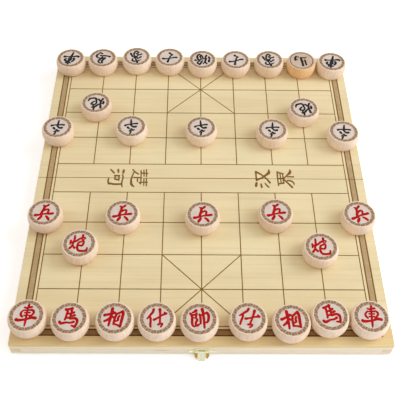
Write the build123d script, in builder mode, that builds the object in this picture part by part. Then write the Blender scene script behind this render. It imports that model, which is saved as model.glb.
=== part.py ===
"""Folding xiangqi (Chinese chess) box, open as its own board, with its 32 pieces.

Two shallow trays are hinged along the river. Folded open, mouths down, their panels
are the board; folded shut, mouth to mouth, they are the box that holds the pieces.
Millimetres, +Z up, origin on the table under the middle of the fold,
+X to the right and +Y towards the black side. The latch is on the near (-Y) end.
"""

import os
from math import acos, cos, degrees, radians, sin

from build123d import *

# ---------------------------------------------------------------- driving dimensions

# Board: a grid of nine files by ten ranks, five ranks on each half
CELL = 40.0             # distance between two lines of the grid
SIDE_MARGIN = 19.5      # outermost file to the board's side edge
END_MARGIN = 20.0       # last rank to the board's end edge
PANEL_T = 3.0           # playing panel
RAIL_T = 10.0           # rails, seen from above
RAIL_H = 13.4           # rails, rim to panel
CORNER_R = 1.2          # rounding of the four outer corners
EDGE_R = 0.4            # easing of the panel's outer top edge
LINE_W = 1.0            # engraved lines
BAND_EDGE_W = 1.3       # engraved edges of the border band
LINE_DEPTH = 0.25
BAND_START = 2.8        # border band, from the outermost grid line outwards
BAND_END = 10.2

# Finger joints at the corners of the rails: the side rail's finger is the middle one
FINGER_LOW = 3.1        # its lower face above the rim
FINGER_HIGH = 9.7       # its upper face above the rim

# Hinges
HINGE_X = 105.0         # each hinge from the middle of the fold
LEAF_L = 16.0           # along the fold
LEAF_W = 8.5            # from the pin's axis to the leaf's free edge
LEAF_T = 0.5
KNUCKLE_R = 1.0
KNUCKLE_L = 5.3         # the far leaf's single middle knuckle
HINGE_PIN_R = 0.5
RUNNING_FIT = 0.03      # radial clearance of a pin in its knuckle
KNUCKLE_GAP = 0.15      # between neighbouring knuckles, and knuckle to wood
RIM_GAP = 0.15          # each rim stops this short of the closing plane
FOLD_GAP = 0.3          # each half stops this short of the fold plane

# Screws and nails
SCREW_HEAD_R = 1.5
SCREW_SHANK_R = 0.7
SCREW_L = 7.0
SCREW_SPACING = 10.0    # between the two screws of a leaf
SCREW_FROM_EDGE = 3.5   # screw to the leaf's free edge
SCREW_SLOT_W = 0.4
SCREW_SLOT_DEPTH = 0.3
NAIL_HEAD_R = 1.2
NAIL_HEAD_H = 0.6
NAIL_SHANK_R = 0.55
NAIL_L = 6.5
SEAT_FIT = 0.02         # wood or metal around a screw or nail

# Latch: winged plate and swinging hasp on the near end
LATCH_T = 0.6           # sheet of the plate, the hasp and the catch
PLATE_W = 27.0          # over the two ears
EAR_H = 5.0
EAR_Z = 6.2             # middle of the ears above the table
PLATE_BODY_W = 15.0
PLATE_LOW = 2.4         # body of the plate, lower and upper edge above the table
PLATE_HIGH = 12.6
PLATE_TOP_R = 3.8
PLATE_FILLET = 1.2
LATCH_NAIL_X = 10.9
LATCH_PIN_Z = 7.6
LATCH_PIN_R = 0.45
LATCH_PIN_HEAD_R = 0.8
LATCH_PIN_HEAD_T = 0.4
LATCH_KNUCKLE_R = 0.95
LATCH_KNUCKLE_GAP = 0.05    # the hasp's knuckle to the plate's face
HASP_KNUCKLE_W = 6.4
PLATE_KNUCKLE_W = 2.3
HASP_LENGTH = 9.2       # pin axis to tip
HASP_TONGUE_W = 7.2
HASP_TIP_R = 1.8
WING_W = 14.0           # over the two wings
WING_START = 1.5        # wing edges, down the hasp from the pin axis
WING_SHOULDER = 3.4
WING_END = 6.7
WING_TIP_W = 11.0
HASP_TIP_CLEAR = 0.2    # tip above the table
RIB_W = 2.6             # embossed rib down the tongue
RIB_START = 2.2
RIB_END = 6.2
RIB_H = 0.5
RIB_ROUND = 0.35

# Catch on the far end
CATCH_W = 17.0
CATCH_H = 8.6
CATCH_EDGE = 0.25       # plate edge back from the rim
CATCH_CORNER_R = 2.0
CATCH_NAIL_X = 5.9
HOOK_W = 4.0
HOOK_T = 0.9
HOOK_OUT = 3.0          # from the wood
HOOK_PAST_SEAM = 1.0    # middle of the hook beyond the closing plane
HOOK_LIP = 0.25
HOOK_LIP_L = 0.5
HOOK_SLOT_FIT = 0.15    # hook in the hasp's slot
HASP_TIP_LAND = 0.8     # metal between the slot and the tip

# Pieces: turned barrels with a ring groove in the top
PIECE_H = 17.0
PIECE_FOOT_R = 15.2
PIECE_BELLY_R = 18.2
PIECE_TOP_R = 16.7
PIECE_BELLY_Z = 9.0
PIECE_FOOT_ROUND = 1.6
PIECE_TOP_ROUND = 0.7
RING_INNER_R = 12.2
RING_OUTER_R = 15.6
RING_DEPTH = 0.25

# ---------------------------------------------------------------- derived sizes

FILES = 9
RANKS_PER_HALF = 5
GRID_X = CELL * (FILES - 1) / 2
GRID_Y = CELL * (RANKS_PER_HALF - 0.5)
RIVER_Y = CELL / 2
WIDTH = 2 * (GRID_X + SIDE_MARGIN)
HALF_DEPTH = GRID_Y + END_MARGIN

AXIS_Z = KNUCKLE_R                  # the knuckles touch the table
RIM_Z = AXIS_Z + RIM_GAP
PANEL_Z = RIM_Z + RAIL_H
TOP_Z = PANEL_Z + PANEL_T

LATCH_PIN_Y = -(HALF_DEPTH + LATCH_T + LATCH_KNUCKLE_GAP + LATCH_KNUCKLE_R)
HASP_ANGLE = degrees(acos((LATCH_PIN_Z - HASP_TIP_CLEAR) / HASP_LENGTH))
SLOT_LOW = HASP_LENGTH - HASP_TIP_LAND
SLOT_HIGH = LATCH_PIN_Z - AXIS_Z + HOOK_PAST_SEAM - HOOK_T / 2 - HOOK_SLOT_FIT
HOOK_Z = AXIS_Z + HOOK_PAST_SEAM

NEAR, FAR = -1, 1

parts = {}


def keep(name, part):
    """Label a finished piece and remember it for export."""
    part.label = name
    parts[name] = part


# ---------------------------------------------------------------- the two trays


def half_outline(side):
    """Outline of one half from above, its two outer corners rounded."""
    with BuildSketch() as outline:
        with Locations((0, side * (HALF_DEPTH + FOLD_GAP) / 2)):
            Rectangle(WIDTH, HALF_DEPTH - FOLD_GAP)
        outer = outline.vertices().group_by(Axis.Y)[-1 if side == FAR else 0]
        fillet(outer, CORNER_R)
    return outline.sketch


def frame_band(side, start, end):
    """The border band of one half: three sides, open towards the fold."""
    with BuildSketch() as band:
        Rectangle(2 * (GRID_X + end), 2 * (GRID_Y + end))
        Rectangle(2 * (GRID_X + start), 2 * (GRID_Y + start), mode=Mode.SUBTRACT)
        add(half_outline(side), mode=Mode.INTERSECT)
    return band.sketch


def board_lines(side):
    """Every engraved line of one half of the board."""
    with BuildSketch() as lines:
        for rank in range(RANKS_PER_HALF):
            with Locations((0, side * (RIVER_Y + rank * CELL))):
                Rectangle(2 * GRID_X + LINE_W, LINE_W)
        inner_file_y = side * (RIVER_Y + GRID_Y) / 2
        with Locations([(CELL * f, inner_file_y) for f in range(-3, 4)]):
            Rectangle(LINE_W, GRID_Y - RIVER_Y)
        with Locations([(x, side * (GRID_Y + FOLD_GAP) / 2) for x in (-GRID_X, GRID_X)]):
            Rectangle(LINE_W, GRID_Y - FOLD_GAP)
        palace = (0, side * (GRID_Y - CELL))
        with Locations(Location(palace, 45), Location(palace, -45)):
            Rectangle(2 * CELL * 2 ** 0.5, LINE_W)
        add(frame_band(side, BAND_START, BAND_START + BAND_EDGE_W))
        add(frame_band(side, BAND_END - BAND_EDGE_W, BAND_END))
    return lines.sketch


def panel(side):
    with BuildPart() as part:
        with BuildSketch(Plane.XY.offset(PANEL_Z)):
            add(half_outline(side))
        extrude(amount=PANEL_T)
        top = part.faces().sort_by(Axis.Z)[-1]
        outer = top.edges().sort_by(lambda edge: side * edge.center().Y)[1:]
        fillet(outer, EDGE_R)
        with BuildSketch(Plane.XY.offset(TOP_Z)):
            add(board_lines(side))
        extrude(amount=-LINE_DEPTH, mode=Mode.SUBTRACT)
    return part.part


def corner_spots(y_places):
    return [(x, y) for x in (-WIDTH / 2 + RAIL_T / 2, WIDTH / 2 - RAIL_T / 2) for y in y_places]


def cross_rail(side, y_middle):
    """A rail along X, its middle finger cut away at both ends."""
    with BuildPart() as part:
        with BuildSketch(Plane.XY.offset(RIM_Z)):
            with Locations((0, y_middle)):
                Rectangle(WIDTH, RAIL_T)
            add(half_outline(side), mode=Mode.INTERSECT)
        extrude(amount=RAIL_H)
        with BuildSketch(Plane.XY.offset(RIM_Z + FINGER_LOW)):
            with Locations(corner_spots([y_middle])):
                Rectangle(RAIL_T, RAIL_T)
        extrude(amount=FINGER_HIGH - FINGER_LOW, mode=Mode.SUBTRACT)
    return part


def side_rail(side, x_middle):
    """A rail along Y that keeps only its middle finger at both ends."""
    end_rails = (side * (HALF_DEPTH - RAIL_T / 2), side * (FOLD_GAP + RAIL_T / 2))
    with BuildPart() as part:
        with BuildSketch(Plane.XY.offset(RIM_Z)):
            with Locations((x_middle, side * (HALF_DEPTH + FOLD_GAP) / 2)):
                Rectangle(RAIL_T, HALF_DEPTH - FOLD_GAP)
            add(half_outline(side), mode=Mode.INTERSECT)
        extrude(amount=RAIL_H)
        for low, high in ((0, FINGER_LOW), (FINGER_HIGH, RAIL_H)):
            with BuildSketch(Plane.XY.offset(RIM_Z + low)):
                with Locations([(x_middle, y) for y in end_rails]):
                    Rectangle(RAIL_T, RAIL_T)
            extrude(amount=high - low, mode=Mode.SUBTRACT)
    return part.part


# ---------------------------------------------------------------- screws and nails


def screw_planes(side):
    """Planes at the screw heads of one half's leaves, facing down."""
    y = side * (LEAF_W - SCREW_FROM_EDGE)
    half_gap = SCREW_SPACING / 2
    xs = [hinge + off for hinge in (-HINGE_X, HINGE_X) for off in (-half_gap, half_gap)]
    return [Plane(origin=(x, y, RIM_Z), x_dir=(1, 0, 0), z_dir=(0, 0, -1)) for x in xs]


def cut_screw_seats(side):
    with Locations(*screw_planes(side)):
        CounterSinkHole(
            radius=SCREW_SHANK_R + SEAT_FIT,
            counter_sink_radius=SCREW_HEAD_R + SEAT_FIT,
            depth=SCREW_L,
            counter_sink_angle=90,
        )


def hinge_screws(side):
    """Four countersunk screws, two for each leaf."""
    taper = SCREW_HEAD_R - SCREW_SHANK_R
    with BuildPart() as part:
        for seat in screw_planes(side):
            profile = Plane(origin=seat.origin, x_dir=(1, 0, 0), z_dir=(0, -1, 0))
            with BuildSketch(profile):
                Polygon(
                    (0, 0),
                    (SCREW_HEAD_R, 0),
                    (SCREW_SHANK_R, taper),
                    (SCREW_SHANK_R, SCREW_L - SCREW_SHANK_R),
                    (0, SCREW_L),
                    align=None,
                )
            revolve(axis=Axis(seat.origin, (0, 0, 1)))
        with BuildSketch(Plane.XY.offset(RIM_Z)):
            with Locations([(seat.origin.X, seat.origin.Y) for seat in screw_planes(side)]):
                Rectangle(2 * SCREW_HEAD_R, SCREW_SLOT_W)
        extrude(amount=SCREW_SLOT_DEPTH, mode=Mode.SUBTRACT)
    return part.part


def nail_planes(side, nail_x, nail_z):
    """Planes at the nail heads of a latch plate, facing out of the box."""
    face_y = side * (HALF_DEPTH + LATCH_T)
    spots = [(x, face_y, nail_z) for x in (-nail_x, nail_x)]
    return [Plane(origin=spot, x_dir=(-side, 0, 0), z_dir=(0, side, 0)) for spot in spots]


def cut_nail_holes(side, nail_x, nail_z):
    with Locations(*nail_planes(side, nail_x, nail_z)):
        Hole(radius=NAIL_SHANK_R + SEAT_FIT, depth=NAIL_L)


def nails(side, nail_x, nail_z):
    """Two round-headed nails."""
    with BuildPart() as part:
        for seat in nail_planes(side, nail_x, nail_z):
            with BuildSketch(Plane(origin=seat.origin, x_dir=(1, 0, 0), z_dir=(0, 0, 1))):
                with BuildLine():
                    Polyline(
                        (0, side * NAIL_HEAD_H),
                        (0, -side * NAIL_L),
                        (NAIL_SHANK_R, -side * (NAIL_L - NAIL_SHANK_R)),
                        (NAIL_SHANK_R, 0),
                        (NAIL_HEAD_R, 0),
                    )
                    TangentArc((0, side * NAIL_HEAD_H), (NAIL_HEAD_R, 0), tangent=(1, 0))
                make_face()
            revolve(axis=Axis(seat.origin, (0, 1, 0)))
    return part.part


# ---------------------------------------------------------------- hinges


def cut_hinge_seats(side):
    """Leaf recesses and knuckle notches in the rim of a fold rail."""
    fit_l = LEAF_L + 2 * KNUCKLE_GAP
    edge_y = LEAF_W + KNUCKLE_GAP
    notch_y = KNUCKLE_R + KNUCKLE_GAP
    notch_top = AXIS_Z + KNUCKLE_R + KNUCKLE_GAP
    with BuildSketch(Plane.XY.offset(RIM_Z)) as leaf_seats:
        with Locations([(x, side * edge_y / 2) for x in (-HINGE_X, HINGE_X)]):
            Rectangle(fit_l, edge_y)
    extrude(leaf_seats.sketch, amount=LEAF_T, mode=Mode.SUBTRACT)
    with BuildSketch(Plane.XY.offset(RIM_Z)) as notches:
        with Locations([(x, side * notch_y / 2) for x in (-HINGE_X, HINGE_X)]):
            Rectangle(fit_l, notch_y)
    extrude(notches.sketch, amount=notch_top - RIM_Z, mode=Mode.SUBTRACT)


def fold_rail(side):
    part = cross_rail(side, side * (FOLD_GAP + RAIL_T / 2))
    with part:
        cut_hinge_seats(side)
        cut_screw_seats(side)
    return part.part


def knuckle_spans(hinge_x, side):
    """Start and length of each knuckle of a leaf, along X."""
    if side == FAR:
        return [(hinge_x - KNUCKLE_L / 2, KNUCKLE_L)]
    outer_l = (LEAF_L - KNUCKLE_L) / 2 - KNUCKLE_GAP
    return [(hinge_x - LEAF_L / 2, outer_l), (hinge_x + LEAF_L / 2 - outer_l, outer_l)]


def hinge_leaf(hinge_x, side):
    cut_back = KNUCKLE_R + KNUCKLE_GAP
    bore_r = HINGE_PIN_R + RUNNING_FIT
    root_y = (bore_r + KNUCKLE_R) / 2
    with BuildPart() as part:
        with BuildSketch(Plane.XY.offset(RIM_Z)):
            with Locations((hinge_x, side * (cut_back + LEAF_W) / 2)):
                Rectangle(LEAF_L, LEAF_W - cut_back)
            for start, length in knuckle_spans(hinge_x, side):
                with Locations((start + length / 2, side * (root_y + LEAF_W) / 2)):
                    Rectangle(length, LEAF_W - root_y)
        extrude(amount=LEAF_T)
        for start, length in knuckle_spans(hinge_x, side):
            with BuildSketch(Plane.YZ.offset(start)):
                with Locations((0, AXIS_Z)):
                    Circle(KNUCKLE_R)
            extrude(amount=length)
            with BuildSketch(Plane.YZ.offset(start)):
                with Locations((0, AXIS_Z)):
                    Circle(bore_r)
            extrude(amount=length, mode=Mode.SUBTRACT)
        cut_screw_seats(side)
    return part.part


def hinge_pin(hinge_x):
    with BuildPart() as part:
        with BuildSketch(Plane.YZ.offset(hinge_x - LEAF_L / 2)):
            with Locations((0, AXIS_Z)):
                Circle(HINGE_PIN_R)
        extrude(amount=LEAF_L)
    return part.part


# ---------------------------------------------------------------- latch


def cylinder_along_x(start, length, y, z, radius, mode=Mode.ADD):
    with BuildSketch(Plane.YZ.offset(start)) as section:
        with Locations((y, z)):
            Circle(radius)
    extrude(section.sketch, amount=length, mode=mode)


def plate_knuckle_starts():
    gap = HASP_KNUCKLE_W / 2 + KNUCKLE_GAP
    return (-gap - PLATE_KNUCKLE_W, gap)


def latch_plate():
    """Winged plate with the two outer knuckles of the latch."""
    near_face = Plane(origin=(0, -HALF_DEPTH, 0), x_dir=(1, 0, 0), z_dir=(0, -1, 0))
    with BuildPart() as part:
        with BuildSketch(near_face):
            with Locations((0, (PLATE_LOW + PLATE_HIGH) / 2)):
                RectangleRounded(PLATE_BODY_W, PLATE_HIGH - PLATE_LOW, PLATE_TOP_R)
            with Locations((0, EAR_Z)):
                SlotOverall(PLATE_W, EAR_H)
        extrude(amount=LATCH_T)
        inside_corners = [
            edge
            for edge in part.edges().filter_by(Axis.Y)
            if abs(abs(edge.center().X) - PLATE_BODY_W / 2) < SEAT_FIT
            and abs(abs(edge.center().Z - EAR_Z) - EAR_H / 2) < SEAT_FIT
        ]
        fillet(inside_corners, PLATE_FILLET)
        strap_y = (-(HALF_DEPTH + LATCH_T) + LATCH_PIN_Y) / 2
        for start in plate_knuckle_starts():
            with BuildSketch(Plane.XY.offset(LATCH_PIN_Z + LATCH_KNUCKLE_R - LATCH_T)):
                with Locations((start + PLATE_KNUCKLE_W / 2, strap_y)):
                    Rectangle(PLATE_KNUCKLE_W, -(HALF_DEPTH + LATCH_T) - LATCH_PIN_Y)
            extrude(amount=LATCH_T)
            cylinder_along_x(start, PLATE_KNUCKLE_W, LATCH_PIN_Y, LATCH_PIN_Z, LATCH_KNUCKLE_R)
        for start in plate_knuckle_starts():
            bore_r = LATCH_PIN_R + RUNNING_FIT
            cylinder_along_x(start, PLATE_KNUCKLE_W, LATCH_PIN_Y, LATCH_PIN_Z, bore_r, Mode.SUBTRACT)
        cut_nail_holes(NEAR, LATCH_NAIL_X, EAR_Z)
    return part.part


def latch_pin():
    start, _ = plate_knuckle_starts()
    head_start = start - LATCH_PIN_HEAD_T
    with BuildPart() as part:
        cylinder_along_x(start, -2 * start, LATCH_PIN_Y, LATCH_PIN_Z, LATCH_PIN_R)
        for x in (head_start, -start):
            cylinder_along_x(x, LATCH_PIN_HEAD_T, LATCH_PIN_Y, LATCH_PIN_Z, LATCH_PIN_HEAD_R)
    return part.part


def latch_hasp():
    """Swinging hasp: a tongue between two wings, resting by the table."""
    lean = radians(HASP_ANGLE)
    hanging = Plane(
        origin=(0, LATCH_PIN_Y, LATCH_PIN_Z),
        x_dir=(1, 0, 0),
        z_dir=(0, -cos(lean), sin(lean)),
    )
    half_tongue = HASP_TONGUE_W / 2
    wing = [
        (0, -WING_START),
        (WING_W / 2, -WING_START),
        (WING_W / 2, -WING_SHOULDER),
        (WING_TIP_W / 2, -WING_END),
        (0, -WING_SHOULDER),
    ]
    with BuildPart() as part:
        with BuildSketch(hanging.offset(-LATCH_T / 2)) as outline:
            with Locations((0, -(LATCH_PIN_R + HASP_LENGTH) / 2)):
                Rectangle(HASP_TONGUE_W, HASP_LENGTH - LATCH_PIN_R)
            fillet(outline.vertices().group_by(Axis.Y)[0], HASP_TIP_R)
            notch_w = (HASP_TONGUE_W - HASP_KNUCKLE_W) / 2
            with Locations([(s * (half_tongue - notch_w / 2), -WING_START / 2) for s in (-1, 1)]):
                Rectangle(notch_w, WING_START, mode=Mode.SUBTRACT)
            Polygon(*wing, align=None)
            Polygon(*[(-x, y) for x, y in wing], align=None)
            with Locations((0, -(SLOT_LOW + SLOT_HIGH) / 2)):
                Rectangle(HOOK_W + 4 * HOOK_SLOT_FIT, SLOT_LOW - SLOT_HIGH, mode=Mode.SUBTRACT)
        extrude(amount=LATCH_T)
        with BuildSketch(hanging.offset(LATCH_T / 2)):
            with Locations((0, -(RIB_START + RIB_END) / 2)):
                SlotOverall(RIB_END - RIB_START, RIB_W, rotation=90)
        extrude(amount=RIB_H)
        rib_top = part.faces().sort_by(Axis((0, LATCH_PIN_Y, LATCH_PIN_Z), hanging.z_dir))[-1]
        fillet(rib_top.edges(), RIB_ROUND)
        start = -HASP_KNUCKLE_W / 2
        cylinder_along_x(start, HASP_KNUCKLE_W, LATCH_PIN_Y, LATCH_PIN_Z, LATCH_KNUCKLE_R)
        bore_r = LATCH_PIN_R + RUNNING_FIT
        cylinder_along_x(start, HASP_KNUCKLE_W, LATCH_PIN_Y, LATCH_PIN_Z, bore_r, Mode.SUBTRACT)
    return part.part


def catch_nail_z():
    return RIM_Z + CATCH_EDGE + CATCH_H / 2


def catch_plate():
    """Plate with a hook that enters the hasp's slot when the box is shut."""
    far_face = Plane(origin=(0, HALF_DEPTH, 0), x_dir=(-1, 0, 0), z_dir=(0, 1, 0))
    hook_end = HALF_DEPTH + HOOK_OUT
    with BuildPart() as part:
        with BuildSketch(far_face):
            with Locations((0, catch_nail_z())):
                RectangleRounded(CATCH_W, CATCH_H, CATCH_CORNER_R)
        extrude(amount=LATCH_T)
        with BuildSketch(Plane.XY.offset(HOOK_Z - HOOK_T / 2)):
            with Locations((0, (HALF_DEPTH + hook_end) / 2)):
                Rectangle(HOOK_W, HOOK_OUT)
        extrude(amount=HOOK_T)
        with BuildSketch(Plane.XY.offset(HOOK_Z + HOOK_T / 2)):
            with Locations((0, hook_end - HOOK_LIP_L / 2)):
                Rectangle(HOOK_W, HOOK_LIP_L)
        extrude(amount=HOOK_LIP)
        cut_nail_holes(FAR, CATCH_NAIL_X, catch_nail_z())
    return part.part


def outer_rail(side):
    nail_x, nail_z = (LATCH_NAIL_X, EAR_Z) if side == NEAR else (CATCH_NAIL_X, catch_nail_z())
    part = cross_rail(side, side * (HALF_DEPTH - RAIL_T / 2))
    with part:
        cut_nail_holes(side, nail_x, nail_z)
    return part.part


# ---------------------------------------------------------------- pieces

# Each piece: name, file and rank of its crossing (file 0 is the middle one, the ranks
# count away from the river, red's are negative) and how far it stands off it in mm.
RED_PIECES = [
    ("red_chariot_left", -4, -5, -2.5, 2),
    ("red_horse_left", -3, -5, -2.5, -0.5),
    ("red_elephant_left", -2, -5, -1, -0.5),
    ("red_advisor_left", -1, -5, -2, -0.5),
    ("red_general", 0, -5, -2.5, -1),
    ("red_advisor_right", 1, -5, 3, 0),
    ("red_elephant_right", 2, -5, 3, -2),
    ("red_horse_right", 3, -5, -0.5, 3.5),
    ("red_chariot_right", 4, -5, -3, 2),
    ("red_cannon_left", -3, -3, -2, 2),
    ("red_cannon_right", 3, -3, -1, -0.5),
    ("red_soldier_1", -4, -2, -1.5, 0),
    ("red_soldier_2", -2, -2, -1.5, -0.5),
    ("red_soldier_3", 0, -2, 1, -1.5),
    ("red_soldier_4", 2, -2, -3, 2),
    ("red_soldier_5", 4, -2, 3, 0),
]
BLACK_PIECES = [
    ("black_chariot_left", -4, 5, -1, -3.5),
    ("black_horse_left", -3, 5, -1.5, -2.5),
    ("black_elephant_left", -2, 5, 0.5, 0.5),
    ("black_advisor_left", -1, 5, 1.5, -0.5),
    ("black_general", 0, 5, 2, -4),
    ("black_advisor_right", 1, 5, 3.5, -4),
    ("black_elephant_right", 2, 5, 5, -3.5),
    ("black_horse_right", 3, 5, 5, -4.5),
    ("black_chariot_right", 4, 5, 2.5, -6),
    ("black_cannon_left", -3, 3, -3, -0.5),
    ("black_cannon_right", 3, 3, 0, -7),
    ("black_soldier_1", -4, 2, -3, 0),
    ("black_soldier_2", -2, 2, 0.5, 2),
    ("black_soldier_3", 0, 2, 0, 1),
    ("black_soldier_4", 2, 2, 1, -1.5),
    ("black_soldier_5", 4, 2, 2, -4),
]


def playing_piece(x, y):
    foot = (x, y, TOP_Z)
    with BuildPart() as part:
        with BuildSketch(Plane(origin=foot, x_dir=(1, 0, 0), z_dir=(0, -1, 0))):
            with BuildLine():
                Polyline((PIECE_TOP_R, PIECE_H), (0, PIECE_H), (0, 0), (PIECE_FOOT_R, 0))
                ThreePointArc((PIECE_FOOT_R, 0), (PIECE_BELLY_R, PIECE_BELLY_Z), (PIECE_TOP_R, PIECE_H))
            make_face()
        revolve(axis=Axis(foot, (0, 0, 1)))
        fillet(part.faces().sort_by(Axis.Z)[0].edges(), PIECE_FOOT_ROUND)
        fillet(part.faces().sort_by(Axis.Z)[-1].edges(), PIECE_TOP_ROUND)
        with BuildSketch(Plane.XY.offset(TOP_Z + PIECE_H)):
            with Locations((x, y)):
                Circle(RING_OUTER_R)
                Circle(RING_INNER_R, mode=Mode.SUBTRACT)
        extrude(amount=-RING_DEPTH, mode=Mode.SUBTRACT)
    return part.part


# ---------------------------------------------------------------- the whole set

for side, half in ((NEAR, "near"), (FAR, "far")):
    keep(f"{half}_panel", panel(side))
    keep(f"{half}_outer_rail", outer_rail(side))
    keep(f"{half}_fold_rail", fold_rail(side))
    keep(f"{half}_left_rail", side_rail(side, -WIDTH / 2 + RAIL_T / 2))
    keep(f"{half}_right_rail", side_rail(side, WIDTH / 2 - RAIL_T / 2))
    keep(f"hinge_screws_{half}", hinge_screws(side))
    for hinge_x, place in ((-HINGE_X, "left"), (HINGE_X, "right")):
        keep(f"hinge_leaf_{half}_{place}", hinge_leaf(hinge_x, side))

keep("hinge_pin_left", hinge_pin(-HINGE_X))
keep("hinge_pin_right", hinge_pin(HINGE_X))

keep("latch_plate", latch_plate())
keep("latch_pin", latch_pin())
keep("latch_hasp", latch_hasp())
keep("latch_nails", nails(NEAR, LATCH_NAIL_X, EAR_Z))
keep("catch_plate", catch_plate())
keep("catch_nails", nails(FAR, CATCH_NAIL_X, catch_nail_z()))

for name, file, rank, off_x, off_y in RED_PIECES + BLACK_PIECES:
    from_river = (abs(rank) - 0.5) * CELL
    y = from_river if rank > 0 else -from_river
    keep(name, playing_piece(file * CELL + off_x, y + off_y))

os.makedirs("parts", exist_ok=True)
for name, part in parts.items():
    export_step(part, f"parts/{name}.step")
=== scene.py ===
"""Looks of the folding xiangqi box: board, turned pieces, brass fittings and a plain studio."""

import math

import bpy
from mathutils import Matrix, Vector
from mathutils.geometry import delaunay_2d_cdt


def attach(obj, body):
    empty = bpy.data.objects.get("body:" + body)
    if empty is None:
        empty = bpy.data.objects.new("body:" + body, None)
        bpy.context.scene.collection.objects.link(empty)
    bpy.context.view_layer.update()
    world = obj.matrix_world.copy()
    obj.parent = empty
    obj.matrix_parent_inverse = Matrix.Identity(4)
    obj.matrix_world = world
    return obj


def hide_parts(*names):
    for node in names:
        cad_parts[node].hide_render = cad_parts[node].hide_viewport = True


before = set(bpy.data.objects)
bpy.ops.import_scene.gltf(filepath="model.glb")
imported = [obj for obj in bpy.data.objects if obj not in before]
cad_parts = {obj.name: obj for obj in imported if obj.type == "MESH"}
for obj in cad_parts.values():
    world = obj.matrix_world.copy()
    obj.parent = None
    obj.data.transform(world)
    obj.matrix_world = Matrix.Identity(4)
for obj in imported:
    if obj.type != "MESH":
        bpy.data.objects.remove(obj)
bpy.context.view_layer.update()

# ---------------------------------------------------------------- sizes, in millimetres

MM = 0.001

CELL = 40.0
GRID_X, GRID_Y, RIVER_Y = 4 * CELL, 4.5 * CELL, CELL / 2
WIDTH, HALF_DEPTH, FOLD_GAP = 359.0, 200.0, 0.3
TOP_Z, PANEL_T = 17.55, 3.0
CORNER_R, EDGE_R = 1.2, 0.4
LINE_W, LINE_DEPTH = 1.0, 0.25
BAND_START, BAND_END, BAND_EDGE_W, BAND_DEPTH = 2.8, 10.2, 1.3, 0.04
RIVER_WORD = (25.6, 19.4)

PIECE_H, PIECE_FOOT_R, PIECE_BELLY_R, PIECE_TOP_R, PIECE_BELLY_Z = 17.0, 15.2, 18.2, 16.7, 9.0
PIECE_FOOT_ROUND, PIECE_TOP_ROUND = 1.6, 0.7
RING_INNER_R, RING_OUTER_R, RING_DEPTH = 12.2, 15.6, 0.25
FRET_UNITS, FRET_UNIT_STEPS, FRET_MARGIN, FRET_SUNK = 16, 13, 0.12, 0.03
GLYPH_DEPTH = 0.32
SPARE_LINE_R, SPARE_LINE_W, SPARE_LINE_DEPTH, SPARE_GLYPH_DEPTH = 14.6, 1.1, 0.16, 0.3
RED_WEIGHT, BLACK_WEIGHT, SPARE_WEIGHT = 1.42, 1.36, 1.12

# Steps of the round forms
CIRCLE_STEPS, CORNER_STEPS, EDGE_STEPS, ROUND_STEPS, BELLY_STEPS = 96, 6, 4, 4, 9
CURVE_STEPS, STRAIGHT_STEPS, CAP_STEPS = 5, 3, 5
SHARP_ANGLE = 38        # degrees; edges from this angle on are drawn sharp
MERGE_WITHIN = 1e-4     # corners of a flat drawing nearer than this become one

# Material slots of a panel and of a piece
VENEER_SLOT, LINE_SLOT, BAND_SLOT, CUT_SLOT, WORD_SLOT = range(5)
SIDE_SLOT, FACE_SLOT, RING_SLOT, FRET_SLOT, GLYPH_SLOT = range(5)

# ---------------------------------------------------------------- characters
# Brush strokes in a box of 100 x 100: (x, y, width) along each stroke.

CHARIOT = (
    ((37, 88, 7), (49, 85, 7), (59, 88, 7), (73, 90, 8)),
    ((33, 74, 6), (23, 63, 8), (24, 51, 9), (33, 43, 7)),
    ((34, 75, 6), (54, 74, 6), (75, 76, 8), (86, 67, 9), (82, 55, 8), (69, 45, 7)),
    ((41, 63, 6), (68, 63, 6)),
    ((40, 50, 6), (67, 50, 6)),
    ((3, 30, 12), (16, 27, 10), (50, 31, 8), (78, 39, 10), (99, 37, 11)),
    ((57, 99, 10), (54, 80, 8), (52, 49, 8), (51, 20, 9), (49, 1, 6)),
)
HORSE = (
    ((28, 94, 11), (38, 87, 10), (35, 70, 9), (31, 48, 9), (28, 41, 8)),
    ((30, 95, 9), (46, 96, 9), (62, 100, 11)),
    ((38, 72, 8), (57, 73, 8), (72, 79, 9)),
    ((32, 51, 8), (56, 51, 9)),
    ((65, 61, 8), (77, 64, 10)),
    ((58, 98, 10), (59, 80, 10), (56, 62, 9), (54, 47, 9)),
    ((54, 47, 9), (80, 48, 10), (92, 38, 11), (91, 22, 10), (83, 4, 10)),
    ((83, 5, 10), (66, 11, 7)),
    ((2, 30, 11), (11, 22, 11), (38, 27, 8), (56, 25, 8), (75, 30, 10)),
)
MINISTER = (
    ((2, 66, 12), (15, 68, 10), (45, 76, 10)),
    ((38, 101, 12), (35, 75, 11), (30, 43, 10), (24, 11, 8)),
    ((32, 55, 10), (20, 43, 10), (3, 34, 9)),
    ((36, 60, 9), (49, 52, 9)),
    ((46, 82, 8), (58, 70, 9), (52, 48, 9), (48, 19, 9)),
    ((60, 71, 9), (74, 78, 9), (89, 85, 11)),
    ((89, 85, 12), (91, 70, 11), (86, 40, 11), (80, 5, 9)),
    ((75, 63, 8), (68, 49, 9), (68, 38, 8), (57, 34, 7)),
    ((48, 20, 8), (66, 14, 8), (80, 6, 9)),
)
GUARD = (
    ((33, 99, 10), (30, 85, 10), (17, 67, 9), (3, 48, 7)),
    ((15, 60, 9), (20, 43, 9), (19, 20, 9), (21, 4, 8)),
    ((37, 42, 11), (55, 52, 8), (79, 68, 8), (97, 76, 11)),
    ((88, 83, 6), (97, 76, 9)),
    ((65, 99, 12), (67, 76, 9), (67, 49, 8), (67, 27, 8)),
    ((59, 16, 9), (71, 21, 9), (79, 18, 9), (72, 4, 7)),
)
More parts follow.
